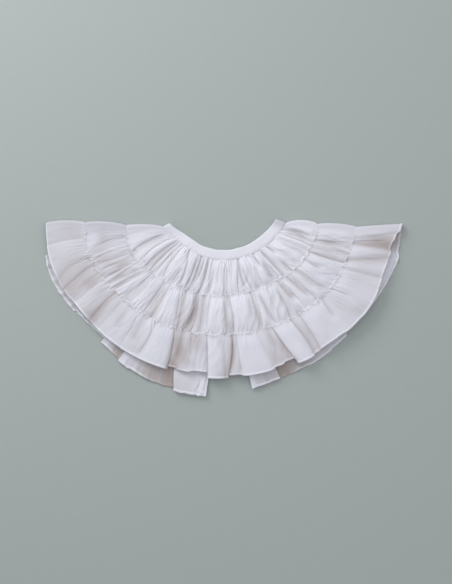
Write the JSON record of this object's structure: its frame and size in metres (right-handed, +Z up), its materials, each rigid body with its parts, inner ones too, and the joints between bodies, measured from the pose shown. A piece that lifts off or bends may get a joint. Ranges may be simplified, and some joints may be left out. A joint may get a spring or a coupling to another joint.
{
  "type": "ruffle collar",
  "caption": "Detachable three-tier gathered cotton ruffle collar on a narrow neckband, laid flat and folded at the shoulders with its back opening at the lower edge.",
  "frame": {"origin": "under the middle of the laid-out collar, on the surface that it lies on", "axes": "+X along the shoulder fold line to the viewer's right, -Y from the shoulders towards the hem and the back opening, +Z up, away from the surface"},
  "size_m": [0.4724, 0.2351, 0.0152],
  "materials": {
    "cloth": "plain-woven white cotton, matt with a slight sheen",
    "band": "white cotton bias binding, matt, edge-stitched",
    "button": "flat shell-white shirt button, satin",
    "thread": "white cotton thread"
  },
  "bodies": {
    "root": {"neckband_front": "band", "neckband_back_left": "band", "neckband_back_right": "band", "tier_1_front": "cloth", "tier_1_back_left": "cloth", "tier_1_back_right": "cloth", "tier_2_front": "cloth", "tier_2_back_left": "cloth", "tier_2_back_right": "cloth", "tier_3_front": "cloth", "tier_3_back_left": "cloth", "tier_3_back_right": "cloth", "back_button": "button", "back_loop": "thread"}
  },
  "joints": []
}
